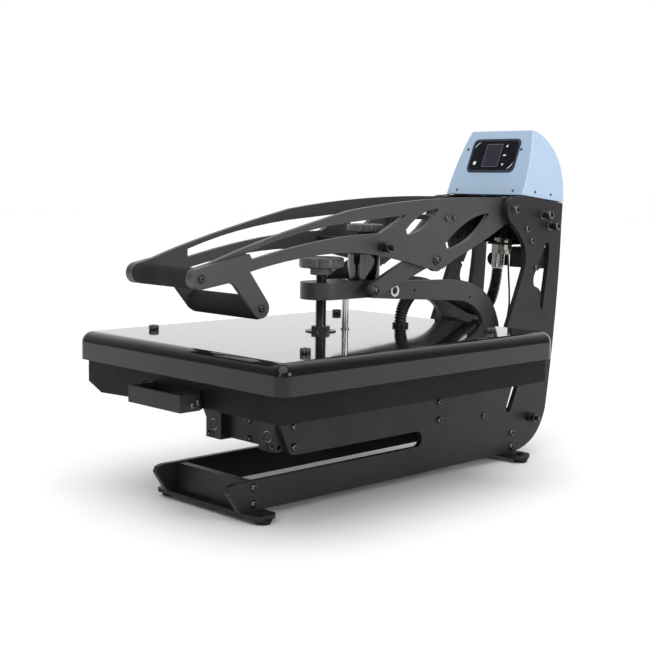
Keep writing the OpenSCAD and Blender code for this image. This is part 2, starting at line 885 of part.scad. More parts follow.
module yoke_pins() {
    color("#77797d") {
        difference() {
            xrod([524, 212], 9, -xy + bar_t + 0.05, xy - bar_t - 0.05);
            xrod([524, 212], 5, -xy, xy);
        }
        both() {
            xrod(pg, 4, 16, xy);
            difference() {
                xrod([296.2, 281.4], 3.9, 24, xy + 1.2);
                translate([xy - 2, 296.2, 281.4])
                    rotate([0, 90, 0])
                        cylinder(r = 2.6, h = 6, $fn = 6);
            }
        }
    }
}
module yoke_washers() {
    color("#e9e9e6")
        both()
            difference() {
                xrod([296.2, 281.4], 8.9, xy, xy + 2);
                xrod([296.2, 281.4], 5.4, xy - 1, xy + 3);
            }
}

// ---- arms ----
module arm_outline() {
    top = concat(arc([-79, 316], 13.5, 250, 100, 8), bow([-60, 334], [20, 362], [184, 398], 8),
        bow([184, 398], [330, 419], [510, 417], 8));
    eye = arc(pa, 20, 110, -70, 12);
    low = concat([[490, 356]], bow([444, 337], [400, 322], [383, 311], 4), arc(pb, 17, -50, -130, 4));
    under = concat(bow([330, 317], [240, 342], [160, 340.5], 6), bow([160, 340.5], [80, 338], [0, 320], 5));
    polygon(concat(top, eye, low, under));
}
module arm_slots() {
    polygon(concat(bow([-2, 345], [80, 372], [182, 382], 6), [[300, 391.5], [246, 365.5]],
        bow([246, 365.5], [140, 366], [-2, 334], 6)));
    polygon(concat(bow([299, 370], [330, 399], [370, 400.5], 6), bow([370, 400.5], [345, 366], [303, 362.5], 6)));
    polygon(concat(bow([387, 349], [440, 392], [490, 393], 6), bow([490, 393], [450, 345], [392, 339.5], 6)));
}
module arm_body() {
    difference() {
        plate(xai, xa)
            difference() {
                arm_outline();
                arm_slots();
            }
        xrod(pa, arm_shaft_d / 2 + run, 0, 100);
        xrod(pb, 4 + run, 0, 100);
        xrod([247, 347], 4.02, 0, 100);
        for (p = [[390, 386], [406, 387]])
            xrod(p, 2.5, 0, 100);
        xrod([-79, 316], 3.02, 0, 100);
    }
}
module arm_r() {
    color("#2d2e31")
        arm_body();
}
module arm_l() {
    color("#2d2e31")
        mirror([1, 0, 0])
            arm_body();
}
module arm_tie() {
    color("#232427") {
        difference() {
            box(-xai + 0.05, xai - 0.05, 382, 414, 383, 390);
            both()
                for (y = [390, 406])
                    xrod([y, 386.5], 2.4, xai - 14, xai + 1);
        }
        both()
            for (p = [[390, 386], [406, 387]]) {
                xrod(p, 2.3, xai - 10, xa + 0.1);
                xrod(p, 4.6, xa, xa + 2.6);
            }
    }
}
module keeper_bar() {
    color("#232427")
        difference() {
            union() {
                box(-xai + 0.05, xai - 0.05, 236, 302, 352, 358);
                box(-xai + 0.05, xai - 0.05, 236, 258, 338, 352.1);
            }
            zrod(0, 280, 5 + run, 340, 365);
            zrod(0, 280, magnet_d / 2 + 0.7, 330, 352);
            xrod([247, 347], 4.02, -80, 80);
        }
}
module keeper() {
    color("#9a9da1")
        difference() {
            zrod(0, 280, magnet_d / 2, 335, 345);
            zrod(0, 280, 3.5, 334, 346);
        }
}
module magnet_knob() {
    color("#1b1b1d")
        union() {
            translate([0, 280, 365])
                star(27, 12, 9, 2.4);
            zrod(0, 280, 10, 358.5, 365.1);
            zrod(0, 280, 5, 345.2, 358.6);
        }
}
module cross_rod() {
    color("#a8abb0") {
        xrod([247, 347], 4, -xa - 28, xa + 28);
        both()
            for (x = [xa + 3, xa + 12])
                difference() {
                    translate([x, 247, 347])
                        rotate([0, 90, 0])
                            cylinder(r = 7.5, h = 6.5, $fn = 6);
                    xrod([247, 347], 4.02, x - 1, x + 10);
                }
    }
}
br_lo = [19.5, 274];
module handle_brackets() {
    color("#2d2e31")
        both()
            difference() {
                plate(xa + 0.1, xa + 6)
                    polygon(concat(arc([-79, 316], 13.5, 285, 100, 10), [[-1, 344.5], [4, 337], [0, 322]],
                        arc(br_lo, 13.5, 40, -140, 8), bow([-22, 302], [-28, 311], [-40, 308], 4)));
                for (p = [[-79, 316], br_lo])
                    xrod(p, 3.02, 0, 100);
            }
}
module grips() {
    color("#19191b") {
        for (p = [[-79, 316], br_lo])
            difference() {
                xrod(p, p == br_lo ? grip_d / 2 + 1.5 : grip_d / 2, p == br_lo ? -xa : -xai + 0.1, p == br_lo ? xa : xai - 0.1);
                xrod(p, 3.02, xai - 20, xa + 1);
                mirror([1, 0, 0])
                    xrod(p, 3.02, xai - 20, xa + 1);
            }
        both()
            for (p = [[-79, 316], br_lo]) {
                xrod(p, 3, xai - 18, xa + 6.1);
                xrod(p, 5, xa + 6, xa + 9);
            }
    }
}

// ---- toggle links ----
module link_outline() {
    polygon(concat(arc(pc, 10.5, 130, 300, 14), bow([270, 282], [315, 297], [355, 312], 6),
        arc(pb, 12, -100, 110, 12), bow([345, 338], [290, 318], [245, 296], 6)));
}
module links() {
    color("#303134")
        both()
            difference() {
                plate(xl - 7.6, xl)
                    link_outline();
                xrod(pc, 4, 0, 100);
                xrod(pb, 4, 0, 100);
            }
}
module link_pins() {
    color("#b4b7bb")
        both() {
            xrod(pb, 4, xl - 7.6, xa + 2);
            xrod(pb, 7.2, xa + 0.3, xa + 2.4);
            xrod(pc, 4, xl - 7.6, xl + 0.1);
            xrod(pc, 7.2, xl, xl + 2.8);
        }
}

// ---- gas springs ----
gas = pg - ps;
gas_len = norm(gas);
gas_a = atan2(gas[1], gas[0]);
gas_x = 27;
module along_gas() {
    translate([0, ps[0], ps[1]])
        rotate([gas_a, 0, 0])
            children();
}
module gas_cylinders() {
    color("#17181a")
        both()
            difference() {
                along_gas() {
                    yrod(gas_x, 0, 9, 13, 100);
                    translate([gas_x - 5, -10, -9])
                        cube([10, 26, 18]);
                }
                xrod(ps, 4 + run, 0, 60);
                along_gas()
                    yrod(gas_x, 0, 4 + run, 20, 110);
            }
}
module gas_rods() {
    color("#cfd1d4")
        both()
            difference() {
                along_gas() {
                    yrod(gas_x, 0, 4, 60, gas_len - 8);
                    translate([gas_x - 5, gas_len - 10, -10])
                        cube([10, 20, 20]);
                }
                xrod(pg, 6.8, 0, 60);
            }
}

place() side_plate_r();
place() side_plate_l();
place() foot_plates();
place() feet();
place() cross_bars();
place() shaft_blocks();
place() guide_rods();
place() tie_plates();
place() base_screws();
place() shafts();
place() rear_panel();
place() console_hood();
place() console_overlay();
place() display();
place() pegs();
place() inlet_box();
place() bumper();
place() rear_glands();
place() conduit();
place() sensor_cable();
place() button_up();
place() button_down();
place() button_set();
place() button_mode();
place() power_switch();
place() tray();
place() lower_platen();
place() silicone_pad();
place() drawer_handle();
place() handle_screws();
place() bearing_blocks();
place() carriage();
place() cover();
place() heater_plate();
place() heating_element();
place() insulation();
place() cover_screws();
place() flange_nut();
place() guide_pin();
place() gland_cover();
place() spindle();
place() pressure_knob();
place() yoke_bars();
place() hub();
place() magnet();
place() yoke_pins();
place() yoke_washers();
place() arm_r();
place() arm_l();
place() arm_tie();
place() keeper_bar();
place() keeper();
place() cross_rod();
place() handle_brackets();
place() grips();
place() magnet_knob();
place() links();
place() link_pins();
place() gas_cylinders();
place() gas_rods();
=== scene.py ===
# %% [markdown]
# # A slide-out heat press
# Two slotted side plates carry a drawer on ground rods, a heated cover on a
# pivoting yoke and a long pair of toggle arms. The frame that is loaded here
# already has the right sizes and joints. This lesson gives every piece its
# edges, its finish and its small parts, and stands the press in soft light.

# %% Load the frame
import json
import math

import bmesh
import bpy
from mathutils import Matrix, Vector


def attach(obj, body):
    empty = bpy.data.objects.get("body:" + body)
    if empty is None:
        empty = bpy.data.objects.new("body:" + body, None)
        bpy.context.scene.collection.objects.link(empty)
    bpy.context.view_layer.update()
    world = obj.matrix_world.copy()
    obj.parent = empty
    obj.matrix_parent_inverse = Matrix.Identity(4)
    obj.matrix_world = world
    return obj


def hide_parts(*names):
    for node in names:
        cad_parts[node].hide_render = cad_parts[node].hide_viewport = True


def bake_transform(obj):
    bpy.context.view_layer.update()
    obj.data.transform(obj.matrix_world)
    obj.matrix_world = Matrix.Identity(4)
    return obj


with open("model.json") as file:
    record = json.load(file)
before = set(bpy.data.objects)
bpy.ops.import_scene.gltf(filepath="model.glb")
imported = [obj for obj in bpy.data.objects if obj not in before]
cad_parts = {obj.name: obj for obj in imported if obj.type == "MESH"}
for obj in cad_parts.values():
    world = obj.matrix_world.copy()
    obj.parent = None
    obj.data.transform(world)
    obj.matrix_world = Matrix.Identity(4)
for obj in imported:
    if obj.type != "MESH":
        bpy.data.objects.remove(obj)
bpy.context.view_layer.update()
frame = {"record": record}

mm = 0.001
record = frame["record"]
home = {node: body for body, nodes in record["behaviour"]["bodies"].items() for node in nodes}
feet_to_middle = 282.5


def at(x, y, z):
    """A place in millimetres, with y counted back from the front feet."""
    return Vector((x, y - feet_to_middle, z)) * mm


# %% [markdown]
# ## Camera
# A long lens from the front right corner, a little over the height of the
# handle. A Track To constraint could aim it, but it would keep the horizon
# level. Here two angles and a small roll give the camera's own axes, which are
# written straight into its matrix.

# %% Camera
turn, rise, roll = (math.radians(a) for a in (45.7, 6.67, 0.82))
camera_place = at(1255.1, -1017.1, 433.8)
back = Vector((math.sin(turn) * math.cos(rise), -math.cos(turn) * math.cos(rise), math.sin(rise)))
right = Vector((math.cos(turn), math.sin(turn), 0))
up = back.cross(right)
rolled_right = right * math.cos(roll) + up * math.sin(roll)
rolled_up = up * math.cos(roll) - right * math.sin(roll)
axes = Matrix((rolled_right, rolled_up, back)).transposed()

camera = bpy.data.objects.new("camera", bpy.data.cameras.new("camera"))
camera.data.sensor_width = 36
camera.data.lens = 67.5
camera.data.clip_start = 0.05
camera.data.clip_end = 50
bpy.context.scene.collection.objects.link(camera)
camera.matrix_world = Matrix.Translation(camera_place) @ axes.to_4x4()
bpy.context.scene.camera = camera
print("camera", [round(v, 3) for v in camera.location])

# %% [markdown]
# ## Small helpers
# Every new mesh is made in place, in metres, with its object left at the
# origin, so that it moves with its body and its grain stays where it is. `add`
# puts an object in the scene. `keep` gives it a material, says which body it
# rides on and, where it stands for a frame node, takes that node's place.

# %% Helpers for meshes
scene = bpy.context.scene


def add(name, mesh):
    obj = bpy.data.objects.new(name, mesh)
    scene.collection.objects.link(obj)
    return obj


def keep(obj, material, body, replaces=()):
    obj.data.materials.clear()
    obj.data.materials.append(material)
    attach(obj, body)
    if replaces:
        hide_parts(*replaces)
    return obj


def smooth(obj, angle):
    """Round shading, broken where two faces meet at more than the angle."""
    mesh = obj.data
    mesh.shade_smooth()
    mesh.set_sharp_from_angle(angle=math.radians(angle))
    return obj


def baked(obj):
    """Replace the mesh by what the modifiers make of it."""
    graph = bpy.context.evaluated_depsgraph_get()
    mesh = bpy.data.meshes.new_from_object(obj.evaluated_get(graph), depsgraph=graph)
    obj.modifiers.clear()
    obj.data = mesh
    return obj


def bevelled(obj, width):
    """Round the corners by a width in mm, and keep the big faces flat."""
    obj.data.shade_smooth()
    edges = obj.modifiers.new("edges", "BEVEL")
    edges.width = width * mm
    edges.segments = 2
    edges.limit_method = "ANGLE"
    edges.angle_limit = math.radians(40)
    edges.use_clamp_overlap = True
    flat = obj.modifiers.new("flat_faces", "WEIGHTED_NORMAL")
    flat.weight = 100
    flat.keep_sharp = True
    return baked(obj)


def from_bmesh(name, bm):
    bmesh.ops.recalc_face_normals(bm, faces=bm.faces)
    mesh = bpy.data.meshes.new(name)
    bm.to_mesh(mesh)
    bm.free()
    return add(name, mesh)


# %% [markdown]
# ## Turned and lofted pieces
# A knob, a washer, a screw head and a peg are all stacks of rings. A Screw
# modifier could turn the round ones, but not a hexagon or a lobed rim. Here
# each ring has a height and a radius, and the radius may be a function of the
# angle, so one helper makes hexagons, grooves and knurls.

# %% Helpers for rings
def axes_for(direction):
    """Three axes whose third one points along the direction."""
    along = Vector(direction).normalized()
    side = Vector((1, 0, 0)) if abs(along.x) < 0.9 else Vector((0, 1, 0))
    across = side.cross(along).normalized()
    return Matrix((across, along.cross(across), along)).transposed()


def stack(bm, rings, sides, place, direction=(0, 0, 1)):
    """Skin a stack of (height, radius) rings in mm, closed at both ends."""
    axes = axes_for(direction)
    rows = []
    for height, radius in rings:
        row = []
        for k in range(sides):
            a = 2 * math.pi * k / sides
            r = radius(a) if callable(radius) else radius
            local = Vector((r * math.cos(a), r * math.sin(a), height)) * mm
            row.append(bm.verts.new(Vector(place) + axes @ local))
        rows.append(row)
    for low, high in zip(rows, rows[1:]):
        for k in range(sides):
            m = (k + 1) % sides
            bm.faces.new((low[k], low[m], high[m], high[k]))
    for row, height, flip in ((rows[0], rings[0][0], True), (rows[-1], rings[-1][0], False)):
        hub = bm.verts.new(Vector(place) + axes @ Vector((0, 0, height * mm)))
        for k in range(sides):
            m = (k + 1) % sides
            bm.faces.new((hub, row[m], row[k]) if flip else (hub, row[k], row[m]))


def hexagon(across):
    """The radius of a hexagon, by its width across the flats."""
    def radius(a):
        turned = (a + math.pi / 6) % (math.pi / 3) - math.pi / 6
        return across / 2 / math.cos(turned)

    return radius


# %% [markdown]
# ## Finishes
# Each finish is a Principled surface with what its real maker leaves on it: a
# powder coat has a fine orange-peel grain, enamel has long soft waves, ground
# steel has fine lines round it. Painted image maps could carry those marks,
# but noise needs no unwrapping and stays sharp up close. The patterns read
# object coordinates in metres, so a scale of 1000 means a grain about a
# millimetre across.

# %% Helpers for finishes
def finish(name, colour, rough, metal=0.0, **sockets):
    m = bpy.data.materials.new(name)
    m.use_nodes = True
    shader = m.node_tree.nodes["Principled BSDF"]
    shader.inputs["Base Color"].default_value = (*colour, 1)
    shader.inputs["Roughness"].default_value = rough
    shader.inputs["Metallic"].default_value = metal
    for key, value in sockets.items():
        shader.inputs[key.replace("_", " ")].default_value = value
    return m, m.node_tree.nodes, m.node_tree.links, shader


def noise(nodes, links, scale, detail=2.0, stretch=(1, 1, 1)):
    where = nodes.new("ShaderNodeTexCoord")
    mapping = nodes.new("ShaderNodeMapping")
    mapping.inputs["Scale"].default_value = stretch
    tex = nodes.new("ShaderNodeTexNoise")
    tex.inputs["Scale"].default_value = scale
    tex.inputs["Detail"].default_value = detail
    links.new(where.outputs["Object"], mapping.inputs["Vector"])
    links.new(mapping.outputs["Vector"], tex.inputs["Vector"])
    return tex.outputs["Fac"]


def ramp(nodes, links, source, low, high, start=0.3, stop=0.7):
    r = nodes.new("ShaderNodeMapRange")
    r.inputs["From Min"].default_value = start
    r.inputs["From Max"].default_value = stop
    r.inputs["To Min"].default_value = low
    r.inputs["To Max"].default_value = high
    links.new(source, r.inputs["Value"])
    return r.outputs["Result"]


def tint(nodes, links, source, dark, light, shader):
    mix = nodes.new("ShaderNodeMix")
    mix.data_type = "RGBA"
    mix.inputs["A"].default_value = (*dark, 1)
    mix.inputs["B"].default_value = (*light, 1)
    links.new(source, mix.inputs["Factor"])
    links.new(mix.outputs["Result"], shader.inputs["Base Color"])


def bump(nodes, links, source, depth, shader, strength=0.5):
    b = nodes.new("ShaderNodeBump")
    b.inputs["Distance"].default_value = depth
    b.inputs["Strength"].default_value = strength
    links.new(source, b.inputs["Height"])
    links.new(b.outputs["Normal"], shader.inputs["Normal"])


# %% [markdown]
# ## Four makers of finishes
# The press has four families of surface: powder coat, enamel, metal and
# moulded plastic or rubber. Each family is one function, so that two pieces
# with the same coat differ only in the numbers that a painter would change.

# %% Powder coat, enamel, metal and mouldings
def powder(name, dark, light, rough, grain=1600, depth=0.00006):
    """A baked powder coat: fine grain, and a colour that is never quite even."""
    m, nodes, links, shader = finish(name, dark, rough)
    tint(nodes, links, ramp(nodes, links, noise(nodes, links, 9, 3), 0, 1), dark, light, shader)
    drift = ramp(nodes, links, noise(nodes, links, 26, 4), rough - 0.05, rough + 0.07)
    links.new(drift, shader.inputs["Roughness"])
    bump(nodes, links, noise(nodes, links, grain, 1), depth, shader)
    return m


def enamel(name, dark, light, rough, wave=70, depth=0.00003):
    """Glossy stoved enamel under a thin clear film: long waves, a roughness that drifts."""
    film_of_lacquer = {"Coat_Weight": 1, "Coat_Roughness": 0.05, "Coat_IOR": 1.25}
    m, nodes, links, shader = finish(name, dark, rough, **film_of_lacquer)
    tint(nodes, links, ramp(nodes, links, noise(nodes, links, 14, 4), 0, 1), dark, light, shader)
    drift = ramp(nodes, links, noise(nodes, links, 40, 5), rough, rough + 0.06)
    links.new(drift, shader.inputs["Roughness"])
    bump(nodes, links, noise(nodes, links, wave, 2), depth, shader, 0.3)
    return m


def metal(name, colour, rough, lines=(1, 1, 1), grain=500, depth=0.00002):
    """Bare or plated metal. The stretch turns the grain into tool lines."""
    m, nodes, links, shader = finish(name, colour, rough, 1.0)
    marks = noise(nodes, links, grain, 3, lines)
    links.new(ramp(nodes, links, marks, rough - 0.05, rough + 0.1), shader.inputs["Roughness"])
    dark = tuple(c * 0.86 for c in colour)
    tint(nodes, links, ramp(nodes, links, noise(nodes, links, 60, 3), 0, 1), dark, colour, shader)
    bump(nodes, links, marks, depth, shader, 0.3)
    return m


def moulded(name, dark, light, rough, grain=900, depth=0.00008):
    """Moulded plastic or rubber with the fine texture of its tool."""
    m, nodes, links, shader = finish(name, dark, rough)
    tint(nodes, links, ramp(nodes, links, noise(nodes, links, 30, 3), 0, 1), dark, light, shader)
    drift = ramp(nodes, links, noise(nodes, links, 90, 3), rough - 0.06, rough + 0.08)
    links.new(drift, shader.inputs["Roughness"])
    bump(nodes, links, noise(nodes, links, grain, 2), depth, shader)
    return m


# %% [markdown]
# ## The finishes in use
# Black is never quite black: the tray, the plates and the arms are given three
# different small values, the tray darkest and the arms lightest.
# Several of them mirror less than a shader's usual four hundredths, so the last
# loop lowers their specular level.

# %% Materials
plate_paint = powder("plate_powder_coat", (0.013, 0.013, 0.0135), (0.018, 0.018, 0.0185), 0.42)
arm_paint = powder("arm_powder_coat", (0.040, 0.040, 0.041), (0.048, 0.048, 0.049), 0.40)
tray_paint = powder("tray_satin_paint", (0.006, 0.006, 0.0065), (0.009, 0.009, 0.009), 0.40, 2200)
hood_paint = powder("hood_blue_coat", (0.415, 0.55, 0.72), (0.435, 0.57, 0.745), 0.36, 1400)
cover_paint = enamel("cover_enamel", (0.004, 0.004, 0.0042), (0.006, 0.006, 0.0063), 0.06)
ground_steel = metal("ground_steel", (0.56, 0.56, 0.57), 0.18, (1, 0.05, 1))
dark_steel = metal("blackened_steel", (0.10, 0.10, 0.105), 0.3)
screw_steel = metal("black_oxide", (0.13, 0.13, 0.135), 0.24)
spindle_steel = metal("threaded_steel", (0.13, 0.13, 0.135), 0.26)
polished = metal("polished_black_nickel", (0.10, 0.10, 0.105), 0.12, (1, 1, 0.1), 120, 0.000005)
nickel = metal("nickel_plate", (0.66, 0.64, 0.60), 0.24)
aluminium = metal("machined_aluminium", (0.60, 0.61, 0.62), 0.34, (1, 0.08, 1), 900)
black_plastic = moulded("black_moulding", (0.012, 0.012, 0.013), (0.018, 0.018, 0.019), 0.42)
foam = moulded("grip_foam", (0.014, 0.014, 0.015), (0.020, 0.020, 0.021), 0.85, 1100, 0.00025)
knob_plastic = moulded("knob_moulding", (0.09, 0.09, 0.091), (0.11, 0.11, 0.111), 0.28)
rubber = moulded("black_rubber", (0.010, 0.010, 0.010), (0.016, 0.016, 0.016), 0.6, 600)
silicone = moulded("silicone_sheet", (0.05, 0.05, 0.053), (0.065, 0.065, 0.068), 0.75, 350)
nylon = moulded("white_nylon", (0.80, 0.80, 0.79), (0.88, 0.88, 0.87), 0.45)
blanket = moulded("fibre_blanket", (0.5, 0.46, 0.38), (0.66, 0.62, 0.53), 0.95, 220, 0.0012)
sheath = metal("element_sheath", (0.32, 0.24, 0.19), 0.45)
cord_plastic = moulded("conduit_plastic", (0.010, 0.010, 0.011), (0.016, 0.016, 0.017), 0.38, 700)
red_plastic = moulded("rocker_plastic", (0.35, 0.012, 0.01), (0.42, 0.018, 0.014), 0.3)
key_plastic = moulded("key_plastic", (0.005, 0.006, 0.010), (0.007, 0.008, 0.013), 0.35)
membrane = moulded("membrane_film", (0.005, 0.006, 0.010), (0.007, 0.008, 0.013), 0.28, 1200, 0.00003)
glass = moulded("screen_window", (0.030, 0.031, 0.045), (0.036, 0.037, 0.052), 0.16, 1500, 0.00001)
ink = moulded("white_ink", (0.82, 0.82, 0.84), (0.9, 0.9, 0.91), 0.5, 1500, 0.00002)
border_ink = moulded("border_ink", (0.035, 0.045, 0.075), (0.045, 0.056, 0.09), 0.32, 1500, 0.00002)
grey_ink = moulded("grey_ink", (0.16, 0.17, 0.20), (0.20, 0.21, 0.24), 0.4, 1500, 0.00002)
for dull, level in (
    (tray_paint, 0.10), (plate_paint, 0.3), (rubber, 0.2), (black_plastic, 0.25), (foam, 0.2),
    (cover_paint, 0.2), (membrane, 0.2), (key_plastic, 0.2), (glass, 0.25),
):
    dull.node_tree.nodes["Principled BSDF"].inputs["Specular IOR Level"].default_value = level
print("materials:", len(bpy.data.materials))

# %% [markdown]
# ## The conduit and the thin cable
# A corrugated conduit carries the heater's leads from the gland behind the
# posts, over the yoke's shaft and down into the cover, and a thin cable hangs
# behind it. Both hang free between their two ends, so each route is a short
# list of given points, the same ones that the frame was built from,
# with a smooth line through them.

# %% Routes
conduit_route = [
    (-2.5, 598.6, 300), (-2.5, 596, 282), (-2.5, 591, 265), (-2, 583, 250), (-1, 571, 239), (0, 554, 234),
    (1, 533, 237), (3, 510, 245), (5.5, 486, 254), (8, 460, 263), (11, 434, 270),
    (14, 408, 275), (17, 384, 276), (20, 364, 271.5), (22.5, 349, 262), (24, 339, 250), (25, 334.3, 238),
    (25, 334, 227)]
cable_route = [
    (20, 597, 323.5), (20, 598, 310), (20, 600, 290), (20, 603, 265), (19, 605, 240), (17, 603.5, 220),
    (12, 602, 195), (6, 602, 165), (1, 602, 135), (-2, 602, 105), (-3, 602, 80), (-4, 599, 60),
    (-4, 588, 44), (-4, 572, 38), (-4, 558, 37), (-4, 544, 37)]


def spline(points, steps):
    """A smooth line through every point."""
    points = [at(*p) for p in points]
    line = []
    for i in range(len(points) - 1):
        a, b = points[max(i - 1, 0)], points[i]
        c, d = points[i + 1], points[min(i + 2, len(points) - 1)]
        for j in range(steps):
            t = j / steps
            line.append(0.5 * (2 * b + (c - a) * t + (2 * a - 5 * b + 4 * c - d) * t * t
                               + (3 * b - a - 3 * c + d) * t ** 3))
    return line + [points[-1]]


def length_of(line):
    return sum((b - a).length for a, b in zip(line, line[1:]))


def wire(name, line):
    """A chain of edges, for a node tree to work along."""
    mesh = bpy.data.meshes.new(name)
    mesh.from_pydata([tuple(p) for p in line], [(i, i + 1) for i in range(len(line) - 1)], [])
    return add(name, mesh)


# %% [markdown]
# ## Helpers for node trees
# A node tree is a group with named inputs, so that one tree serves pieces of
# several sizes. `run_tree` sets those inputs on a modifier by their
# identifiers and bakes what comes out into a plain mesh.

# %% Helpers for node trees
def new_tree(name, inputs):
    tree = bpy.data.node_groups.new(name, "GeometryNodeTree")
    tree.interface.new_socket("Geometry", in_out="INPUT", socket_type="NodeSocketGeometry")
    for label, kind, value in inputs:
        socket = tree.interface.new_socket(label, in_out="INPUT", socket_type=kind)
        if value is not None:
            socket.default_value = value
    tree.interface.new_socket("Geometry", in_out="OUTPUT", socket_type="NodeSocketGeometry")
    return tree, tree.nodes.new("NodeGroupInput"), tree.nodes.new("NodeGroupOutput")


def maths(tree, operation, a, b=None):
    node = tree.nodes.new("ShaderNodeMath")
    node.operation = operation
    for socket, value in zip(node.inputs, (a, b)):
        if value is None:
            continue
        if isinstance(value, (int, float)):
            socket.default_value = value
        else:
            tree.links.new(value, socket)
    return node.outputs[0]


def finish_tree(tree, geometry, material, group_out):
    realize = tree.nodes.new("GeometryNodeRealizeInstances")
    paint = tree.nodes.new("GeometryNodeSetMaterial")
    tree.links.new(geometry, realize.inputs["Geometry"])
    tree.links.new(realize.outputs["Geometry"], paint.inputs["Geometry"])
    tree.links.new(material, paint.inputs["Material"])
    tree.links.new(paint.outputs["Geometry"], group_out.inputs["Geometry"])


def run_tree(obj, tree, **values):
    modifier = obj.modifiers.new("nodes", "NODES")
    modifier.node_group = tree
    for item in tree.interface.items_tree:
        key = item.name.replace(" ", "_").lower()
        if item.item_type == "SOCKET" and item.in_out == "INPUT" and key in values:
            modifier[item.identifier] = values[key]
    obj.update_tag()
    bpy.context.view_layer.update()
    return baked(obj)


# %% [markdown]
# ## A ribbed tube along a line
# A bevelled curve would give a plain hose. Here Geometry Nodes cuts the line
# into steps of half a millimetre and lets the radius swell and shrink with the
# length along it, which is what makes the ribs. With no depth and long steps
# the same tree makes the plain thin cable.

# %% Geometry Nodes: a ribbed tube
ribs, ribs_in, ribs_out = new_tree("ribbed_tube", [
    ("Radius", "NodeSocketFloat", 0.0095), ("Pitch", "NodeSocketFloat", 0.004),
    ("Depth", "NodeSocketFloat", 0.12), ("Step", "NodeSocketFloat", 0.00047),
    ("Sides", "NodeSocketInt", 28), ("Material", "NodeSocketMaterial", None)])
to_curve = ribs.nodes.new("GeometryNodeMeshToCurve")
resample = ribs.nodes.new("GeometryNodeResampleCurve")
resample.mode = "LENGTH"
along = ribs.nodes.new("GeometryNodeSplineParameter")
wave = maths(ribs, "SINE", maths(ribs, "MULTIPLY", maths(
    ribs, "DIVIDE", along.outputs["Length"], ribs_in.outputs["Pitch"]), 2 * math.pi))
swell = maths(ribs, "SUBTRACT", 1.0, maths(ribs, "MULTIPLY", maths(
    ribs, "SUBTRACT", 0.5, maths(ribs, "MULTIPLY", wave, 0.5)), ribs_in.outputs["Depth"]))
set_radius = ribs.nodes.new("GeometryNodeSetCurveRadius")
section = ribs.nodes.new("GeometryNodeCurvePrimitiveCircle")
skin = ribs.nodes.new("GeometryNodeCurveToMesh")
skin.inputs["Fill Caps"].default_value = True
ribs.links.new(ribs_in.outputs["Geometry"], to_curve.inputs["Mesh"])
ribs.links.new(to_curve.outputs["Curve"], resample.inputs["Curve"])
ribs.links.new(ribs_in.outputs["Step"], resample.inputs["Length"])
ribs.links.new(resample.outputs["Curve"], set_radius.inputs["Curve"])
ribs.links.new(swell, set_radius.inputs["Radius"])
ribs.links.new(ribs_in.outputs["Sides"], section.inputs["Resolution"])
ribs.links.new(ribs_in.outputs["Radius"], section.inputs["Radius"])
ribs.links.new(set_radius.outputs["Curve"], skin.inputs["Curve"])
ribs.links.new(section.outputs["Curve"], skin.inputs["Profile Curve"])
if "Scale" in skin.inputs:
    ribs.links.new(swell, skin.inputs["Scale"])
finish_tree(ribs, skin.outputs["Mesh"], ribs_in.outputs["Material"], ribs_out)

# %% [markdown]
# ## The two cords
# The conduit's near end stays with the base and its far end follows the yoke;
# here it is made in place and rides on no body. The thin cable joins two places
# on the base and never moves.

# %% The conduit and the cable
conduit_line = spline(conduit_route, 8)
conduit = run_tree(
    wire("ribbed_conduit", conduit_line), ribs, radius=0.0095, depth=0.2, pitch=0.004,
    step=0.0005, sides=28, material=cord_plastic)
smooth(conduit, 60)
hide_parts("conduit")
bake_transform(conduit)

cable_line = spline(cable_route, 6)
cable = run_tree(
    wire("thin_cable", cable_line), ribs, radius=0.0015, depth=0.0, pitch=0.01, step=0.003,
    sides=12, material=cord_plastic)
smooth(cable, 60)
keep(cable, cord_plastic, "base", ("sensor_cable",))
print("conduit", round(length_of(conduit_line), 3), "m; cable", round(length_of(cable_line), 3), "m")

# %% [markdown]
# ## Softened edges
# A real plate never ends in a perfect corner: laser cutting, deburring and the
# coat leave a small round that catches the light. Each frame node with the
# right shape is copied, its loose triangles are merged into plain faces, and a
# bevel rounds what is left of its corners.

# %% Helpers for softened copies
def merged(node):
    """A copy of a node's mesh with its loose triangles joined into faces."""
    bm = bmesh.new()
    bm.from_mesh(bpy.data.objects[node].data)
    bmesh.ops.remove_doubles(bm, verts=bm.verts, dist=2e-6)
    bmesh.ops.dissolve_limit(
        bm, angle_limit=math.radians(0.4), verts=bm.verts, edges=bm.edges, delimit={"NORMAL"})
    return bm


def softened(node, material, width):
    obj = bevelled(from_bmesh(node + "_soft", merged(node)), width)
    return keep(obj, material, home[node], (node,))


# %% [markdown]
# ## Which finish and which edge each piece has
# Cut sheet has edges of about half a millimetre, thicker bars and blocks up to
# a whole one, and foam and blanket nearly two. One table says it for every
# piece, roughly from the base through the drawer and the head to the arms,
# with small and printed parts last. A loop is enough, because only the finish
# and the width differ.

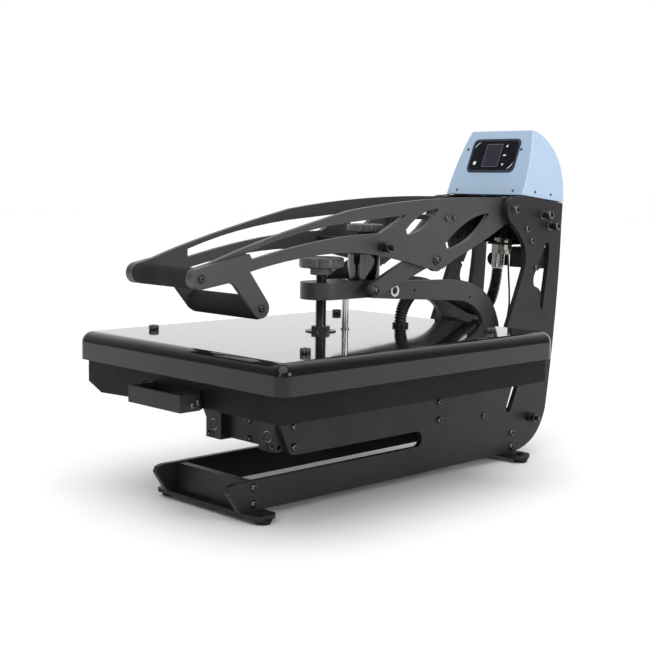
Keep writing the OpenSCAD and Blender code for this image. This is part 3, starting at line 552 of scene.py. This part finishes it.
# %% Softened copies of the frame's nodes
for node, material, width in [
    ("side_plate_r", plate_paint, 0.7), ("side_plate_l", plate_paint, 0.7),
    ("foot_plates", plate_paint, 0.6), ("cross_bars", plate_paint, 0.6),
    ("shaft_blocks", plate_paint, 0.7), ("tie_plates", plate_paint, 0.6),
    ("rear_panel", tray_paint, 0.5), ("inlet_box", plate_paint, 0.5), ("feet", rubber, 0.6),
    ("guide_rods", ground_steel, 0.5), ("shafts", dark_steel, 0.4), ("bumper", rubber, 1.0),
    ("rear_glands", nickel, 0.5), ("lower_platen", tray_paint, 0.4), ("silicone_pad", silicone, 0.8),
    ("drawer_handle", plate_paint, 0.5), ("tray", tray_paint, 0.4), ("bearing_blocks", aluminium, 0.8),
    ("carriage", plate_paint, 0.6), ("heater_plate", aluminium, 0.6), ("gland_cover", black_plastic, 0.6),
    ("yoke_bars", arm_paint, 0.6), ("hub", arm_paint, 0.8), ("magnet", polished, 0.6),
    ("yoke_pins", dark_steel, 0.4), ("yoke_washers", nylon, 0.4), ("arm_r", arm_paint, 0.8),
    ("arm_l", arm_paint, 0.8), ("arm_tie", arm_paint, 0.5), ("keeper_bar", plate_paint, 0.6),
    ("keeper", nickel, 0.8), ("handle_brackets", arm_paint, 0.7), ("grips", foam, 1.6),
    ("links", arm_paint, 0.7), ("link_pins", dark_steel, 0.7), ("gas_cylinders", black_plastic, 0.6),
    ("gas_rods", ground_steel, 0.4), ("guide_pin", ground_steel, 0.5), ("power_switch", red_plastic, 0.8),
    ("cover", cover_paint, 0.4), ("flange_nut", dark_steel, 0.4), ("cross_rod", dark_steel, 0.4),
    ("button_up", key_plastic, 0.4), ("button_down", key_plastic, 0.4), ("button_set", key_plastic, 0.4),
    ("button_mode", key_plastic, 0.4), ("console_overlay", membrane, 0.1), ("display", glass, 0.3),
    ("insulation", blanket, 2.0), ("heating_element", sheath, 0.3),
]:
    softened(node, material, width)

# %% [markdown]
# ## The console's hood
# The hood is one folded and welded sheet with generous rounds. It could be
# folded up face by face, but its outer shape is convex, so the hull of the
# frame's node is already that shape. The foot is opened, the folds are rounded
# wide and the sheet is given back its thickness.

# %% Hood
bm = bmesh.new()
bm.from_mesh(bpy.data.objects["console_hood"].data)
made = bmesh.ops.convex_hull(bm, input=bm.verts)
inside = {v for v in made["geom_interior"] + made["geom_unused"] if isinstance(v, bmesh.types.BMVert)}
bmesh.ops.delete(bm, geom=list(inside), context="VERTS")
hull = set(made["geom"])
bmesh.ops.delete(bm, geom=[f for f in bm.faces if f not in hull], context="FACES_ONLY")
bmesh.ops.remove_doubles(bm, verts=bm.verts, dist=2e-5)
bmesh.ops.dissolve_limit(bm, angle_limit=math.radians(0.6), verts=bm.verts, edges=bm.edges)
foot = [f for f in bm.faces if f.normal.z < -0.6]
bmesh.ops.delete(bm, geom=foot, context="FACES")
hood = from_bmesh("hood_shell", bm)
hood.data.shade_smooth()
rounds = hood.modifiers.new("folds", "BEVEL")
rounds.width = 5 * mm
rounds.segments = 4
rounds.limit_method = "ANGLE"
rounds.angle_limit = math.radians(28)
sheet_metal = hood.modifiers.new("sheet", "SOLIDIFY")
sheet_metal.thickness = 2.2 * mm
sheet_metal.offset = -1
flat = hood.modifiers.new("flat_faces", "WEIGHTED_NORMAL")
flat.weight = 100
baked(hood)
keep(hood, hood_paint, "base", ("console_hood",))
print("hood faces:", len(hood.data.polygons))

# %% [markdown]
# ## Print on the console
# The keys stand a little proud of one printed film. A border, the screen's
# frame, two fine arcs in opposite corners and the keys' own marks are each a
# film of ink 0.12 mm thick, set out in the face's own coordinates. An image
# could carry them, but real outlines stay sharp at any distance.

# %% Helpers for outlines on the console's face
face_foot_y, face_foot_z = 553, 421.5
face_run, face_rise = 43, 101
tilt = math.atan(face_run / face_rise)


def face(x, s, d):
    """x across the sloping face, s up it, d out of it, from the middle of its foot."""
    y = face_foot_y - d * math.cos(tilt) + s * math.sin(tilt)
    z = face_foot_z + d * math.sin(tilt) + s * math.cos(tilt)
    return at(x, y, z)


def arc(cx, cy, r, a0, a1, n=14):
    """n + 1 points on a circle, from one angle to another in degrees."""
    angles = [math.radians(a0 + (a1 - a0) * i / n) for i in range(n + 1)]
    return [(cx + r * math.cos(a), cy + r * math.sin(a)) for a in angles]


def rounded(x0, x1, s0, s1, r, n=6):
    """A rectangle whose four corners are quarter circles."""
    corners = ((x1 - r, s1 - r, 0), (x0 + r, s1 - r, 90), (x0 + r, s0 + r, 180), (x1 - r, s0 + r, 270))
    return [point for cx, cy, a in corners for point in arc(cx, cy, r, a, a + 90, n)]


def film(name, outlines, d, material, body, holes=None, thick=0.12):
    """Thin prints on the face. With a hole, outline and hole have as many points each."""
    bm = bmesh.new()
    for k, outline in enumerate(outlines):
        low = [bm.verts.new(face(x, s, d)) for x, s in outline]
        high = [bm.verts.new(face(x, s, d + thick)) for x, s in outline]
        n = len(outline)
        for i in range(n):
            j = (i + 1) % n
            bm.faces.new((low[i], low[j], high[j], high[i]))
        if holes:
            low_in = [bm.verts.new(face(x, s, d)) for x, s in holes[k]]
            high_in = [bm.verts.new(face(x, s, d + thick)) for x, s in holes[k]]
            for i in range(n):
                j = (i + 1) % n
                bm.faces.new((low_in[j], low_in[i], high_in[i], high_in[j]))
                bm.faces.new((high[i], high[j], high_in[j], high_in[i]))
                bm.faces.new((low[j], low[i], low_in[i], low_in[j]))
        else:
            bm.faces.new(high)
            bm.faces.new(low[::-1])
    return keep(from_bmesh(name, bm), material, body)


def crescent(cx, cy, r, a0, a1, width, n=14):
    """A thin arc that tapers to nothing at both ends."""
    outer = arc(cx, cy, r, a0, a1, n)
    inner = []
    for i in range(n - 1, 0, -1):
        a = math.radians(a0 + (a1 - a0) * i / n)
        waist = r - width * math.sin(math.pi * i / n)
        inner.append((cx + waist * math.cos(a), cy + waist * math.sin(a)))
    return outer + inner


# %% Console print
border_top, ink_top, key_top = 0.86, 0.9, 1.15
film("border_print", [rounded(-48.7, 45.7, 38.8, 95.7, 8.4)], border_top, border_ink, "base",
     [rounded(-46.2, 43.2, 41.3, 93.2, 6.6)])
arcs = [crescent(-32.5, 79.5, 11.5, 95, 178, 1.3), crescent(29.5, 55, 11.5, -85, 2, 1.3)]
film("corner_arcs", arcs, ink_top, ink, "base")
film("screen_frame", [rounded(-20, 12, 47.5, 87.5, 1.2)], ink_top, grey_ink, "base",
     [rounded(-19.3, 11.3, 48.2, 86.8, 0.8)])
film("mark_up", [[(19, 82), (24, 82), (21.5, 86.4)]], key_top, ink, "button_up")
film("mark_down", [[(19, 53), (21.5, 48.6), (24, 53)]], key_top, ink, "button_down")
film("mark_set", [rounded(18, 24, 66.3, 68.7, 1.1, 4)], key_top, ink, "button_set")
film("mark_mode", [arc(-36, 54, 3.2, 0, 345, 23)], key_top, ink, "button_mode")

# %% [markdown]
# ## Screws
# One button-head screw is turned and given its hexagon socket. Copies could be
# placed by hand, but Geometry Nodes sets one on every point of a small cloud;
# each point carries the way its screw faces and how large it is.

# %% Screw head and its node tree
button_head = [(0, 5.3), (0.7, 5.5), (1.5, 5.3), (2.4, 4.6), (3.0, 3.7), (3.2, 3.2)]
socket_in_head = [(3.2, hexagon(5.0)), (1.3, hexagon(4.9))]
bm = bmesh.new()
stack(bm, button_head + socket_in_head, 24, (0, 0, 0))
screw = smooth(from_bmesh("screw_pattern", bm), 38)

setting, setting_in, setting_out = new_tree("set_screws", [
    ("Pattern", "NodeSocketObject", None), ("Material", "NodeSocketMaterial", None)])
info = setting.nodes.new("GeometryNodeObjectInfo")
way = setting.nodes.new("GeometryNodeInputNamedAttribute")
way.data_type = "FLOAT_VECTOR"
way.inputs["Name"].default_value = "way"
size = setting.nodes.new("GeometryNodeInputNamedAttribute")
size.inputs["Name"].default_value = "size"
turn_to = setting.nodes.new("FunctionNodeAlignRotationToVector")
turn_to.axis = "Z"
place_on = setting.nodes.new("GeometryNodeInstanceOnPoints")
setting.links.new(setting_in.outputs["Pattern"], info.inputs["Object"])
setting.links.new(way.outputs["Attribute"], turn_to.inputs["Vector"])
setting.links.new(setting_in.outputs["Geometry"], place_on.inputs["Points"])
setting.links.new(info.outputs["Geometry"], place_on.inputs["Instance"])
setting.links.new(turn_to.outputs["Rotation"], place_on.inputs["Rotation"])
setting.links.new(size.outputs["Attribute"], place_on.inputs["Scale"])
finish_tree(setting, place_on.outputs["Instances"], setting_in.outputs["Material"], setting_out)


def fasteners(name, points, body, replaces=()):
    """points: (place in metres, way, size against an 11 mm head)."""
    mesh = bpy.data.meshes.new(name)
    mesh.from_pydata([tuple(p[0]) for p in points], [], [])
    mesh.attributes.new("way", "FLOAT_VECTOR", "POINT")
    mesh.attributes.new("size", "FLOAT", "POINT")
    for i, (_, direction, scale) in enumerate(points):
        mesh.attributes["way"].data[i].vector = direction
        mesh.attributes["size"].data[i].value = scale
    obj = run_tree(add(name, mesh), setting, pattern=screw, material=screw_steel)
    return keep(smooth(obj, 38), screw_steel, body, replaces)


# %% [markdown]
# ## Where the screws sit
# Nearly every screw has a twin on the other side of the press, so one helper
# sets both from the places on one side. The faces and the pivots are named
# once, because the washers further on sit at the same places. Each group of
# screws rides on the body that it holds together.

# %% Places that screws and washers share
both = (1, -1)
plate_face, arm_face, link_face = 80, 64, 55
arm_pivot, yoke_pivot = (534, 398.5), (544, 180)
upper_link_pin, lower_link_pin = (369, 324.5), (247, 284)


def outward(x, places, size):
    """Screws that face outwards at the same (y, z) places on both sides."""
    return [(at(s * x, y, z), (s, 0, 0), size) for s in both for y, z in places]


# %% Set the base's screws
rod_block_screws = [(70, 115), (70, 87), (364, 115), (364, 87)]
foot_screws = [(0, 44), (0, 22), (542, 44), (542, 22)]
post_screws = [(566, 368), (579, 349.5), (593, 306), (470, 80)]
base_points = outward(plate_face, rod_block_screws + foot_screws + post_screws, 1.0)
base_points += outward(plate_face + 1.6, [arm_pivot, yoke_pivot], 1.22)
forward = (0, -1, 0)
base_points += [(at(6, y, z), forward, 0.85) for y in (55, 355) for z in (89, 114)]
base_points += [(at(s * 66, 43, 87), forward, 0.68) for s in both]
fasteners("base_fasteners", base_points, "base", replaces=("base_screws",))

hood_spots = [(-58.5, 79), (50, 78), (-57, 7), (57, 7)]
hood_points = [(face(x, s, -0.6), (0, -math.cos(tilt), math.sin(tilt)), 0.44) for x, s in hood_spots]
hood_points += outward(77.5, [(586, 426), (628, 422)], 0.44)
fasteners("hood_fasteners", hood_points, "base")

# %% Set the moving bodies' screws
arm_points = outward(arm_face, [(390, 386), (406, 387)], 0.9)
arm_points += outward(arm_face + 6, [(-79, 316), (19.5, 274)], 0.98)
fasteners("arm_fasteners", arm_points, "arms")
link_points = outward(arm_face + 2, [upper_link_pin], 1.0)
link_points += outward(link_face + 2, [lower_link_pin], 1.0)
fasteners("link_fasteners", link_points, "links")
pull_points = outward(55, [(-80, 156.3), (-71, 159.5)], 0.76)
fasteners("pull_fasteners", pull_points, "drawer", replaces=("handle_screws",))
bpy.data.objects.remove(screw)
groups = (base_points, hood_points, arm_points, link_points, pull_points)
print("screws set:", sum(len(group) for group in groups))

# %% [markdown]
# ## Washers under the pivots
# Each pivot has a turned washer with a raised rim, which shows as rings
# around the screw. A plain disc would throw one flat highlight; the rim and
# the dish inside it cost only a few more rings in the same stack.

# %% Pivot washers
def washers(name, points, body, r, thick):
    bm = bmesh.new()
    dish = thick * 0.7
    rings = [(0, r), (thick * 0.6, r), (thick, r - 0.6), (thick, r - 1.6), (dish, r - 2), (dish, 4)]
    for place, direction, _ in points:
        stack(bm, rings, 40, place, direction)
    return keep(smooth(from_bmesh(name, bm), 30), dark_steel, body)


pivot_spots = outward(plate_face, [arm_pivot, yoke_pivot], 1.0)
washers("base_washers", pivot_spots, "base", 8.8, 1.7)
link_spots = outward(arm_face + 0.2, [upper_link_pin], 1.0) + outward(link_face, [lower_link_pin], 1.0)
washers("link_washers", link_spots, "links", 8.6, 2.1)
print("washers:", len(pivot_spots) + len(link_spots))

# %% [markdown]
# ## Rear pegs
# Two turned pegs stand on the right side plate: a flange against the plate,
# a thinner neck and a rounded head that keeps a looped lead from slipping off.
# A lathe makes them in one cut, and one stack of rings does the same, with the
# hexagon socket as its last two rings.

# %% Pegs
flange = [(0, 7.4), (1.6, 7.4), (2.2, 6.6)]
neck = [(2.2, 4.6), (9.5, 4.6)]
head = [(9.9, 6.2), (10.6, 6.9), (16.4, 6.9), (17.8, 6.3), (18.5, 5.0)]
socket_in_peg = [(18.5, hexagon(6)), (15.5, hexagon(5.8))]
bm = bmesh.new()
for y, z in ((605, 390), (625, 372)):
    stack(bm, flange + neck + head + socket_in_peg, 36, at(plate_face, y, z), (1, 0, 0))
keep(smooth(from_bmesh("peg_turnings", bm), 34), screw_steel, "base", ("pegs",))
print("pegs: 2")

# %% [markdown]
# ## Rod ends
# The ground rods are closed by dark plugs a little proud of their chamfers.
# They could be painted on, but a real step catches the light at its rim.

# %% Rod plugs
rod_x, rod_z = 56, 101
plug = [(-1, 7.1), (0.3, 7.1), (0.6, 6.6), (0.6, 5.9), (0.35, 5.6)]
bm = bmesh.new()
for s in both:
    for y, outward_y in ((43.5, -1), (390.5, 1)):
        stack(bm, plug, 36, at(s * rod_x, y, rod_z), (0, outward_y, 0))
keep(smooth(from_bmesh("rod_plugs", bm), 30), plate_paint, "base")
print("rod plugs: 4")

# %% [markdown]
# ## Cover screws
# Socket cap screws with a straight knurl round the head, for fingers. The
# knurl is a radius that dips once for each tooth, so the ridges are real and
# show in the outline, where a bump map would leave it round.

# %% Knurled cover screws
cover_screw_x, cover_screw_ys, cover_top = 157, (16, 380), 225.2


def knurled(r, teeth, depth):
    def radius(a):
        return r - depth * abs(math.sin(a * teeth / 2)) ** 0.7

    return radius


grip = knurled(7.0, 22, 0.7)
cap_head = [(0, 6.2), (0.5, grip), (6.3, grip), (6.9, 6.1), (7, 5.6), (7, hexagon(7)), (2.8, hexagon(6.9))]
bm = bmesh.new()
for x in (-cover_screw_x, cover_screw_x):
    for y in cover_screw_ys:
        stack(bm, cap_head, 88, at(x, y, cover_top))
keep(smooth(from_bmesh("knurled_screws", bm), 28), screw_steel, "head", ("cover_screws",))
print("cover screws: 4")

# %% [markdown]
# ## Pressure spindle
# A single-start thread with a 2 mm pitch, the same pitch as the coupling in
# the frame. A Screw modifier needs a profile drawn for it; here the radius
# simply depends on the height and the angle together, which makes one helix of
# the stack of rings. The crest fades out over one pitch at both ends.

# %% Thread
def thread(bm, place, r, depth, pitch, z0, z1, sides=36, steps=8):
    """A threaded bar from z0 to z1 in mm, closed at both ends."""
    rows = []
    count = round((z1 - z0) / pitch * steps)
    for i in range(count + 1):
        z = z0 + (z1 - z0) * i / count
        row = []
        for k in range(sides):
            a = 2 * math.pi * k / sides
            phase = (z / pitch - a / (2 * math.pi)) % 1
            full = r - depth * min(1, abs(phase - 0.5) * 2.6)
            fade = min(1, (z - z0) / pitch, (z1 - z) / pitch)
            faded = r - depth + (full - r + depth) * fade
            row.append(bm.verts.new(place + Vector((faded * math.cos(a), faded * math.sin(a), z)) * mm))
        rows.append(row)
    for low, high in zip(rows, rows[1:]):
        for k in range(sides):
            m = (k + 1) % sides
            bm.faces.new((low[k], low[m], high[m], high[k]))
    bm.faces.new(rows[0][::-1])
    bm.faces.new(rows[-1])


spindle_y = 193
bm = bmesh.new()
thread(bm, at(0, spindle_y, 0), 7.95, 0.9, 2.0, 232.5, 317)
stack(bm, [(222, 5.9), (233, 5.9)], 24, at(0, spindle_y, 0))
spindle = smooth(from_bmesh("spindle_thread", bm), 50)
keep(spindle, spindle_steel, "pressure_screw", ("spindle",))
print("spindle faces:", len(spindle.data.polygons))

# %% [markdown]
# ## Knobs
# Both knobs are moulded with broad lobes parted by narrow grooves, so that a
# gloved hand finds a hold. The rim is rounded and the top is dished. Grooves
# cut with booleans would leave hard edges; here each groove is a smooth dip in
# the radius of every ring, so it runs up the side and on over the rim.

# %% Lobed knobs
def grooved(r, count, depth, width, phase):
    """A radius with a smooth dip, depth deep and about twice width wide, count times round."""
    def radius(a):
        pitch = 2 * math.pi / count
        off = (a - phase + pitch / 2) % pitch - pitch / 2
        return r - depth * math.exp(-(off * r / width) ** 2)

    return radius


def lobed_knob(node, body, place, r, h, phase, collar):
    """A knob of radius r and height h; its collar is stacks of rings with their sides."""
    def rim(cut):
        return grooved(r - cut, 9, 2.4, 1.7, phase)

    underside = [(0, r * 0.5), (0, rim(2.6)), (0.6, rim(1.1)), (1.8, rim(0))]
    shoulder = [(h - 2.6, rim(0)), (h - 1.1, rim(0.5)), (h - 0.3, rim(1.5)), (h, rim(2.8)), (h, rim(4.2))]
    dished_top = [(h - 0.5, rim(5.2)), (h - 0.6, r * 0.4), (h - 0.6, 8.6), (h, 8.2), (h, 3.2), (h - 1, 3)]
    bm = bmesh.new()
    stack(bm, underside + shoulder + dished_top, 180, place)
    for rings, sides in collar:
        stack(bm, rings, sides, place)
    knob = smooth(from_bmesh(node + "_lobes", bm), 30)
    return keep(knob, knob_plastic, body, (node,))


hexagon_collar = [(-10, hexagon(25)), (-9.2, hexagon(28)), (-0.8, hexagon(28)), (0, hexagon(26.5))]
lobed_knob("pressure_knob", "pressure_screw", at(0, spindle_y, 316), 32, 15, math.radians(-0.9),
           [(hexagon_collar, 48)])
lobed_knob("magnet_knob", "magnet_knob", at(0, 280, 365), 27, 12, math.radians(-3),
           [([(-6.4, 9.6), (0, 9.8)], 40), ([(-19.7, 5), (-6.3, 5)], 28)])
print("knobs: 2")

# %% [markdown]
# ## Light and floor
# A pale floor runs out twelve metres each way. The room is white beyond the
# press, as seen from the camera's corner, and falls to a quarter of that on
# the near side, because black coats look black only where they have something
# darker to mirror. The Standard view transform keeps white as white.

# %% Floor and room
floor_mesh = bpy.data.meshes.new("floor")
floor_mesh.from_pydata([(-12, -12, 0), (12, -12, 0), (12, 12, 0), (-12, 12, 0)], [], [(0, 1, 2, 3)])
floor = add("floor", floor_mesh)
floor_paint, _, _, _ = finish("pale_floor", (0.93, 0.93, 0.93), 0.9)
floor_mesh.materials.append(floor_paint)

scene.view_settings.view_transform = "Standard"
far_side = (-0.716, 0.698, 0)
world = bpy.data.worlds.new("soft_room")
scene.world = world
world.use_nodes = True
nodes, links = world.node_tree.nodes, world.node_tree.links
outlook = nodes.new("ShaderNodeTexCoord")
behind = nodes.new("ShaderNodeVectorMath")
behind.operation = "DOT_PRODUCT"
behind.inputs[1].default_value = far_side
links.new(outlook.outputs["Generated"], behind.inputs[0])
glow = ramp(nodes, links, behind.outputs["Value"], 0.24, 1.0, 0.15, 0.62)
links.new(glow, nodes["Background"].inputs["Strength"])
nodes["Background"].inputs["Color"].default_value = (1, 1, 1, 1)
print("floor and room made")

# %% [markdown]
# ## Lamps
# The main light is a very wide sun from overhead: it lies evenly on the floor
# and leaves only a soft shadow under the press. Two soft boxes, a broad one on
# the right and a narrow upright one at the near corner, give the plates and
# the cover's edges their long gentle highlights.

# %% Lamps
def soft_box(name, place, aim, size, power):
    light = bpy.data.lights.new(name, "AREA")
    light.shape = "RECTANGLE"
    light.size, light.size_y = size
    light.energy = power
    obj = bpy.data.objects.new(name, light)
    scene.collection.objects.link(obj)
    obj.location = place
    obj.rotation_euler = (Vector(aim) - Vector(place)).to_track_quat("-Z", "Y").to_euler()


overhead = bpy.data.lights.new("overhead", "SUN")
overhead.energy = 2.35
overhead.angle = math.radians(70)
lamp = bpy.data.objects.new("overhead", overhead)
scene.collection.objects.link(lamp)
lamp.rotation_euler = (math.radians(14), math.radians(16), 0)
soft_box("right_box", (2.4, 0.5, 1.0), (0, 0.1, 0.25), (1.2, 1.0), 17)
soft_box("corner_box", (0.9, -2.2, 0.9), (0.1, -0.3, 0.2), (0.25, 1.2), 5)
print("lights:", len(bpy.data.lights))
